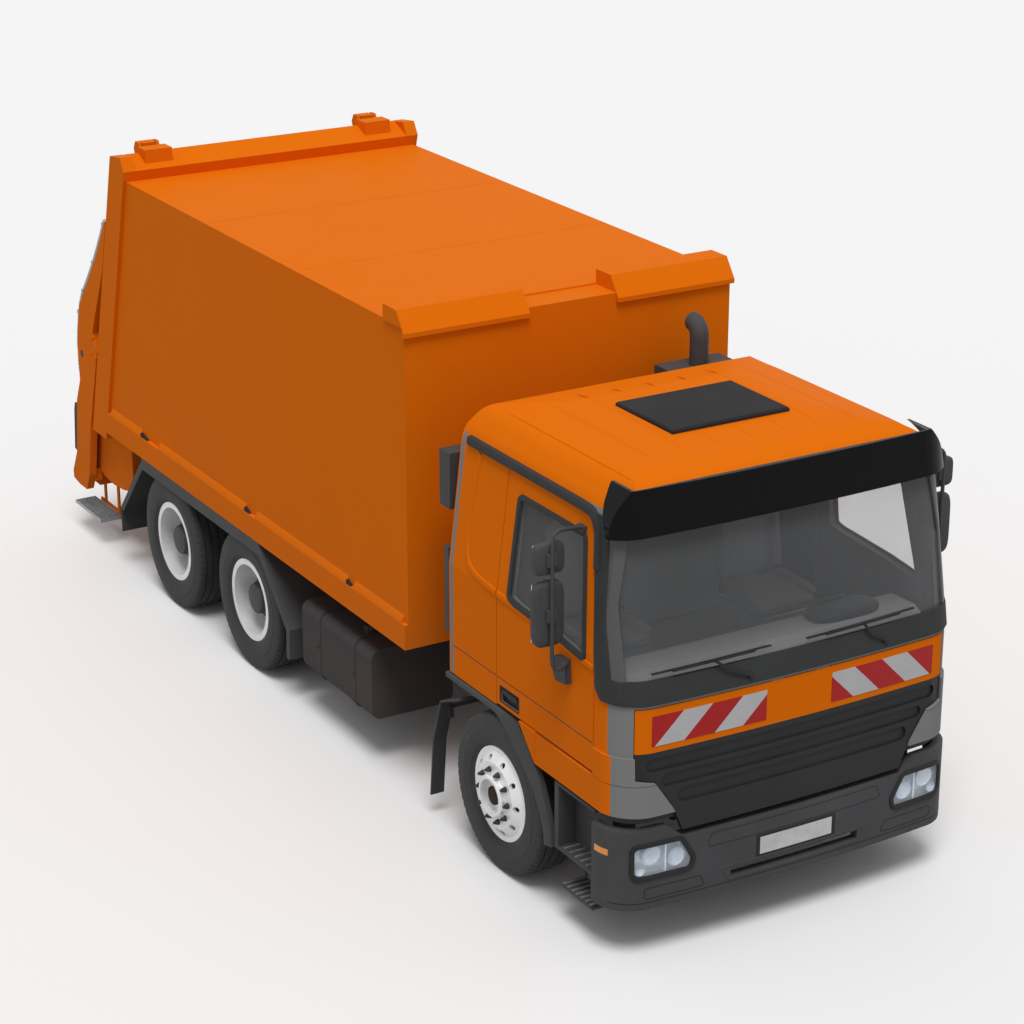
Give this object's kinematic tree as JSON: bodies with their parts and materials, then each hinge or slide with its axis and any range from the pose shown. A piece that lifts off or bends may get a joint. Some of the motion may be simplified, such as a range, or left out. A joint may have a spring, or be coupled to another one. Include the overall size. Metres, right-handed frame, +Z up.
{
  "type": "refuse collection truck",
  "caption": "Rear-loading refuse collection truck with tilting cab, raised tailgate, packer blade, bin lifter and ejector plate.",
  "frame": {"origin": "on the ground under the middle of the truck's length and width", "axes": "+Z up; the cab faces -Y; the truck's right-hand side is -X and its left-hand side +X"},
  "size_m": [3, 8.335, 3.4478],
  "materials": {
    "body_orange": "gloss",
    "cab_orange": "gloss",
    "chassis_black": "satin",
    "engine_grey": "matt",
    "dark_plastic": "matt",
    "grille_black": "satin",
    "tank_grey": "satin",
    "glass": "clear",
    "lamp_glass": "clear",
    "lamp_housing": "satin",
    "worn_steel": "worn",
    "galvanised": "matt",
    "cylinder_black": "satin",
    "rod_chrome": "polished",
    "tyre": "matt",
    "rim_silver": "satin",
    "seat_fabric": "woven"
  },
  "bodies": {
    "chassis": {"frame_rails": "chassis_black", "engine_block": "engine_grey", "front_axle": "chassis_black", "rear_axles": "chassis_black", "bumper": "dark_plastic", "headlamps": "lamp_glass", "fuel_tank": "tank_grey", "battery_box": "tank_grey", "mudguards": "dark_plastic", "entry_steps": "dark_plastic", "intake_stack": "dark_plastic", "body_floor": "body_orange", "body_sides": "body_orange", "body_roof": "body_orange", "body_front_wall": "body_orange", "body_rear_frame": "body_orange"},
    "ejector": {"ejector_plate": "worn_steel"},
    "tailgate": {"tailgate_sides": "body_orange", "tailgate_cover": "body_orange", "hopper_tub": "body_orange", "tailgate_handrails": "galvanised", "tail_lamps": "lamp_housing"},
    "packer": {"packer_blade": "worn_steel"},
    "lifter": {"bin_lifter": "body_orange"},
    "footboard_left": {"footboard_left": "galvanised"},
    "footboard_right": {"footboard_right": "galvanised"},
    "barrels": {"lift_barrels": "cylinder_black"},
    "rods": {"lift_rods": "rod_chrome"},
    "cab": {"cab_sides": "cab_orange", "cab_front": "cab_orange", "cab_rear_wall": "cab_orange", "cab_roof": "cab_orange", "cab_floor": "dark_plastic", "windscreen": "glass", "sun_visor": "dark_plastic", "dashboard": "dark_plastic", "seats": "seat_fabric"},
    "flap": {"front_flap": "cab_orange", "grille": "grille_black"},
    "hatch": {"roof_hatch": "dark_plastic"},
    "door_left": {"door_left": "cab_orange", "door_glass_left": "glass", "mirror_left": "dark_plastic"},
    "door_right": {"door_right": "cab_orange", "door_glass_right": "glass", "mirror_right": "dark_plastic"},
    "knuckle_left": {"knuckle_left": "chassis_black"},
    "knuckle_right": {"knuckle_right": "chassis_black"},
    "wheel_front_left": {"tyre_front_left": "tyre", "rim_front_left": "rim_silver"},
    "wheel_front_right": {"tyre_front_right": "tyre", "rim_front_right": "rim_silver"},
    "wheel_middle_left": {"tyres_middle_left": "tyre", "rims_middle_left": "rim_silver"},
    "wheel_middle_right": {"tyres_middle_right": "tyre", "rims_middle_right": "rim_silver"},
    "wheel_rear_left": {"tyres_rear_left": "tyre", "rims_rear_left": "rim_silver"},
    "wheel_rear_right": {"tyres_rear_right": "tyre", "rims_rear_right": "rim_silver"}
  },
  "joints": [
    {"name": "steer_left", "type": "hinge", "parent": "chassis", "child": "knuckle_left", "pos_m": [0.83, -2.7445, 0.522], "axis": [0, 0, 1], "range_deg": [-35, 35]},
    {"name": "steer_right", "type": "hinge", "parent": "chassis", "child": "knuckle_right", "pos_m": [-0.83, -2.7445, 0.522], "axis": [0, 0, 1], "range_deg": [-35, 35]},
    {"name": "spin_front_left", "type": "hinge", "parent": "knuckle_left", "child": "wheel_front_left", "pos_m": [1.089, -2.7445, 0.522], "axis": [1, 0, 0], "continuous": true},
    {"name": "spin_middle_left", "type": "hinge", "parent": "chassis", "child": "wheel_middle_left", "pos_m": [0.92, 0.8555, 0.522], "axis": [1, 0, 0], "continuous": true},
    {"name": "spin_rear_left", "type": "hinge", "parent": "chassis", "child": "wheel_rear_left", "pos_m": [0.92, 2.2055, 0.522], "axis": [1, 0, 0], "continuous": true},
    {"name": "spin_front_right", "type": "hinge", "parent": "knuckle_right", "child": "wheel_front_right", "pos_m": [-1.089, -2.7445, 0.522], "axis": [1, 0, 0], "continuous": true},
    {"name": "spin_middle_right", "type": "hinge", "parent": "chassis", "child": "wheel_middle_right", "pos_m": [-0.92, 0.8555, 0.522], "axis": [1, 0, 0], "continuous": true},
    {"name": "spin_rear_right", "type": "hinge", "parent": "chassis", "child": "wheel_rear_right", "pos_m": [-0.92, 2.2055, 0.522], "axis": [1, 0, 0], "continuous": true},
    {"name": "cab_tilt", "type": "hinge", "parent": "chassis", "child": "cab", "pos_m": [0, -4.0175, 0.98], "axis": [1, 0, 0], "range_deg": [0, 60]},
    {"name": "front_flap", "type": "hinge", "parent": "cab", "child": "flap", "pos_m": [0, -4.1425, 1.601], "axis": [-1, 0, 0], "range_deg": [0, 80]},
    {"name": "roof_hatch", "type": "hinge", "parent": "cab", "child": "hatch", "pos_m": [0, -3.3775, 2.9203], "axis": [1, 0, 0], "range_deg": [0, 15]},
    {"name": "door_left_hinge", "type": "hinge", "parent": "cab", "child": "door_left", "pos_m": [1.2195, -3.8175, 1.6], "axis": [0, 0, -1], "range_deg": [0, 75]},
    {"name": "door_right_hinge", "type": "hinge", "parent": "cab", "child": "door_right", "pos_m": [-1.2195, -3.8175, 1.6], "axis": [0, 0, 1], "range_deg": [0, 75]},
    {"name": "tailgate_lift", "type": "hinge", "parent": "chassis", "child": "tailgate", "pos_m": [0, 3.0325, 3.4], "axis": [1, 0, 0], "range_deg": [0, 80]},
    {"name": "lift_barrel_swing", "type": "hinge", "parent": "chassis", "child": "barrels", "pos_m": [0, 3.3325, 1.2], "axis": [1, 0, 0], "range_deg": [-12.23, 0]},
    {"name": "lift_rod_slide", "type": "slide", "parent": "barrels", "child": "rods", "axis": [0, -0.1414, 0.9899], "range_m": [0, 0.4096]},
    {"name": "packer_swing", "type": "hinge", "parent": "tailgate", "child": "packer", "pos_m": [0, 3.5475, 1.72], "axis": [1, 0, 0], "range_deg": [-15, 12]},
    {"name": "bin_lift", "type": "hinge", "parent": "tailgate", "child": "lifter", "pos_m": [0, 3.9725, 1.28], "axis": [1, 0, 0], "range_deg": [0, 120]},
    {"name": "ejector_slide", "type": "slide", "parent": "chassis", "child": "ejector", "axis": [0, 1, 0], "range_m": [0, 3.6]},
    {"name": "footboard_left_fold", "type": "hinge", "parent": "tailgate", "child": "footboard_left", "pos_m": [1.082, 3.8875, 0.24], "axis": [0, -1, 0], "range_deg": [0, 90]},
    {"name": "footboard_right_fold", "type": "hinge", "parent": "tailgate", "child": "footboard_right", "pos_m": [-1.082, 3.8875, 0.24], "axis": [0, 1, 0], "range_deg": [0, 90]}
  ],
  "couplings": [
    {"joint": "steer_right", "follows": "steer_left", "ratio": 1},
    {"joint": "lift_barrel_swing", "follows": "tailgate_lift", "ratio": -0.15164},
    {"joint": "lift_rod_slide", "follows": "tailgate_lift", "m_per_rad": 0.29266}
  ]
}
